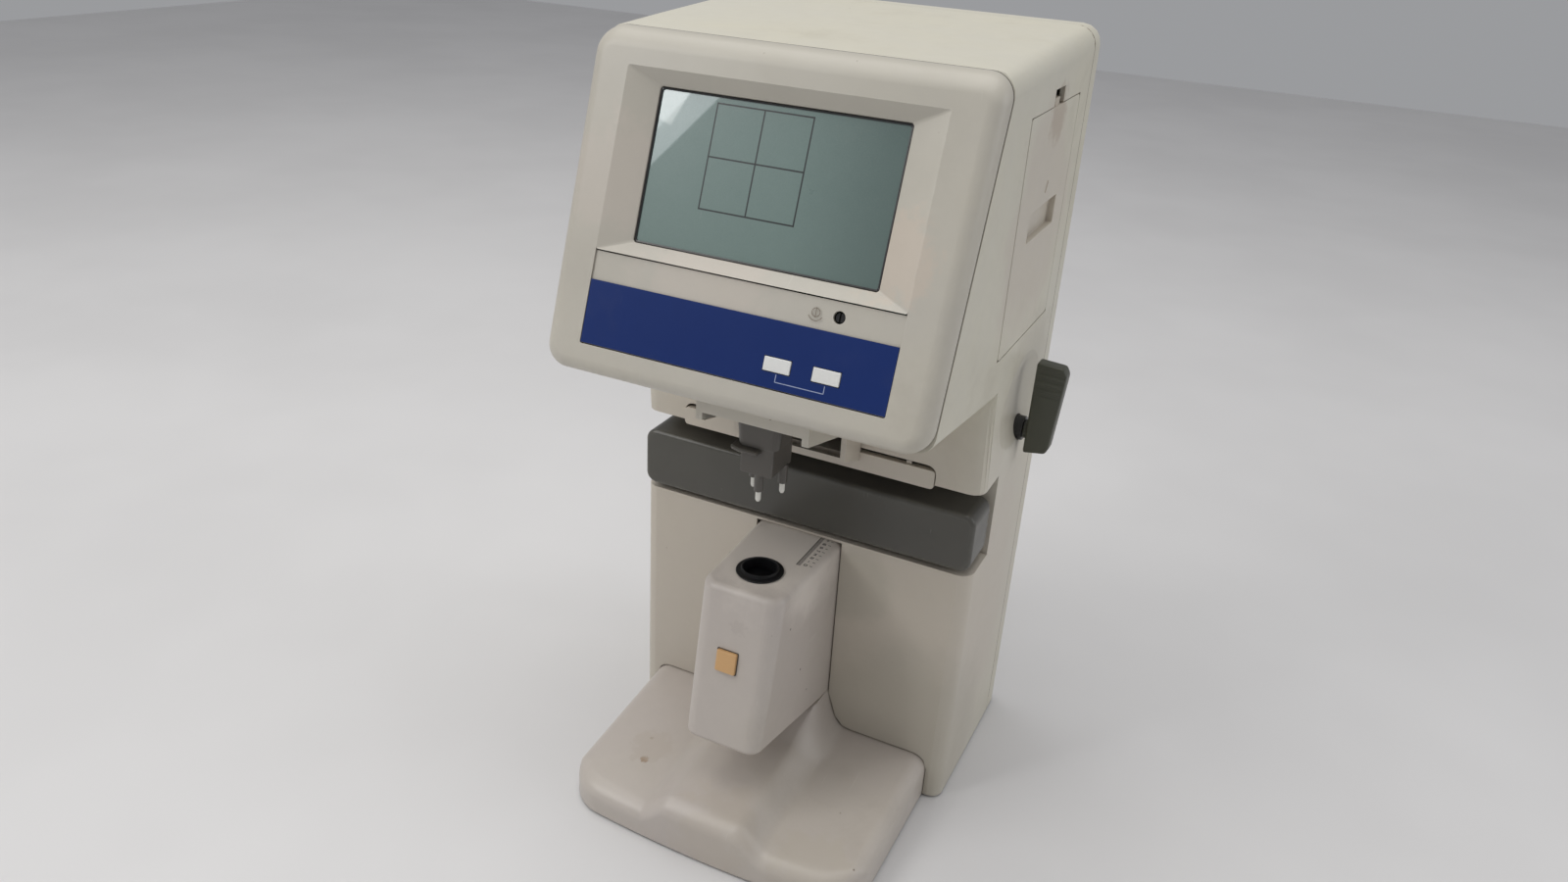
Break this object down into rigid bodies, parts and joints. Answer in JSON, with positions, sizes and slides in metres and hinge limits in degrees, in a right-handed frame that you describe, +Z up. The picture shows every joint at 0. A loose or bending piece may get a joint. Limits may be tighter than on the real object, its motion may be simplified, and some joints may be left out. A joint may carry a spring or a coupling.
{
  "type": "lensmeter",
  "caption": "Tabletop automatic lensmeter: upright case with sloping display head, nose with lens rest, sliding lens table, lens holder, marking pens and side lever.",
  "frame": {"origin": "centre of the bounding box's underside, on the table the feet stand on", "axes": "+Z up, -Y towards the user and the display, +X to the user's right, where the lever is"},
  "size_m": [0.2213, 0.2241, 0.422],
  "materials": {
    "ivory_plastic": "fine texture",
    "grey_ivory_plastic": "fine texture",
    "dark_grey_paint": "satin",
    "olive_grey_plastic": "fine texture",
    "blue_film": "satin",
    "white_plastic": "satin",
    "yellow_key_plastic": "satin",
    "black_plastic": "satin",
    "display_glass": "polished",
    "black_rubber": "matte",
    "steel": "satin",
    "aluminium": "satin",
    "circuit_board": "satin",
    "paper": "matte"
  },
  "bodies": {
    "case": {"main_housing": "ivory_plastic", "rear_cover": "ivory_plastic", "front_bezel": "ivory_plastic", "control_panel": "ivory_plastic", "marker_shield": "ivory_plastic", "marker_shelf": "ivory_plastic", "base_arm_moulding": "grey_ivory_plastic", "blue_film": "blue_film", "lens_rest_ring": "black_plastic", "holder_guide": "black_plastic", "printer_unit": "black_plastic", "power_entry": "black_plastic", "display_window": "display_glass", "nose_lens": "display_glass", "display_gasket": "black_rubber", "foot_front_left": "black_rubber", "foot_front_right": "black_rubber", "foot_rear_left": "black_rubber", "foot_rear_right": "black_rubber", "base_plate": "steel", "chassis_frame": "steel", "power_supply": "steel", "data_port": "steel", "holder_spring": "steel", "cover_screw_1": "steel", "cover_screw_2": "steel", "cover_screw_3": "steel", "cover_screw_4": "steel", "display_module": "aluminium", "relay_tube": "aluminium", "collimator_tube": "aluminium", "lamp_housing": "aluminium", "guide_block_left": "aluminium", "guide_block_right": "aluminium", "key_board": "circuit_board", "sensor_board": "circuit_board", "main_board": "circuit_board"},
    "lens_table_body": {"lens_table": "dark_grey_paint", "table_rod_left": "steel", "table_rod_right": "steel", "table_carriage": "aluminium"},
    "lever_body": {"table_lever": "olive_grey_plastic", "lever_bush": "black_plastic", "lever_crank": "steel"},
    "holder_body": {"lens_holder": "dark_grey_paint", "holder_tip_1": "white_plastic", "holder_tip_2": "white_plastic", "holder_tip_3": "white_plastic"},
    "marker_body": {"marker_carriage": "black_plastic", "marker_pen_1": "olive_grey_plastic", "marker_pen_2": "olive_grey_plastic", "marker_pen_3": "olive_grey_plastic"},
    "mode_key_body": {"mode_key": "white_plastic"},
    "output_key_body": {"output_key": "white_plastic"},
    "hold_key_body": {"hold_key": "yellow_key_plastic"},
    "contrast_dial_body": {"contrast_dial": "black_plastic"},
    "door_body": {"printer_door": "ivory_plastic"},
    "roll_body": {"paper_roll": "paper"},
    "rocker_body": {"power_rocker": "black_plastic"}
  },
  "joints": [
    {"name": "lens_table_slide", "type": "slide", "parent": "case", "child": "lens_table_body", "axis": [0, -1, 0], "range_m": [0, 0.0315]},
    {"name": "table_lever_turn", "type": "hinge", "parent": "case", "child": "lever_body", "pos_m": [0.08925, 0.05875, 0.217], "axis": [-1, 0, 0], "range_deg": [0, 42]},
    {"name": "lens_holder_slide", "type": "slide", "parent": "case", "child": "holder_body", "axis": [0, 0, -1], "range_m": [0, 0.036], "stiffness_N_per_m": 8, "springref_m": -0.09, "deforming": ["holder_spring"]},
    {"name": "marker_slide", "type": "slide", "parent": "case", "child": "marker_body", "axis": [0, -0.5, -0.866], "range_m": [0, 0.045], "stiffness_N_per_m": 4, "springref_m": -0.09},
    {"name": "mode_key_press", "type": "slide", "parent": "case", "child": "mode_key_body", "axis": [0, 0.9437, -0.3308], "range_m": [0, 0.0008], "stiffness_N_per_m": 600, "springref_m": -0.0008},
    {"name": "output_key_press", "type": "slide", "parent": "case", "child": "output_key_body", "axis": [0, 0.9437, -0.3308], "range_m": [0, 0.0008], "stiffness_N_per_m": 600, "springref_m": -0.0008},
    {"name": "hold_key_press", "type": "slide", "parent": "case", "child": "hold_key_body", "axis": [0, 0.9808, -0.1951], "range_m": [0, 0.001], "stiffness_N_per_m": 600, "springref_m": -0.001},
    {"name": "contrast_dial_turn", "type": "hinge", "parent": "case", "child": "contrast_dial_body", "pos_m": [0.03675, -0.08291, 0.31256], "axis": [0, 0.9437, -0.3308], "range_deg": [-135, 135]},
    {"name": "printer_door_turn", "type": "hinge", "parent": "case", "child": "door_body", "pos_m": [0.08925, 0.03025, 0.27995], "axis": [0, 1, 0], "range_deg": [0, 90]},
    {"name": "paper_roll_turn", "type": "hinge", "parent": "case", "child": "roll_body", "pos_m": [0.05725, 0.03075, 0.308], "axis": [0, 1, 0], "continuous": true},
    {"name": "power_rocker_turn", "type": "hinge", "parent": "case", "child": "rocker_body", "pos_m": [-0.04175, 0.10475, 0.04], "axis": [1, 0, 0], "range_deg": [0, 16]}
  ],
  "couplings": [
    {"joint": "table_lever_turn", "follows": "lens_table_slide", "rad_per_m": 23.271}
  ]
}
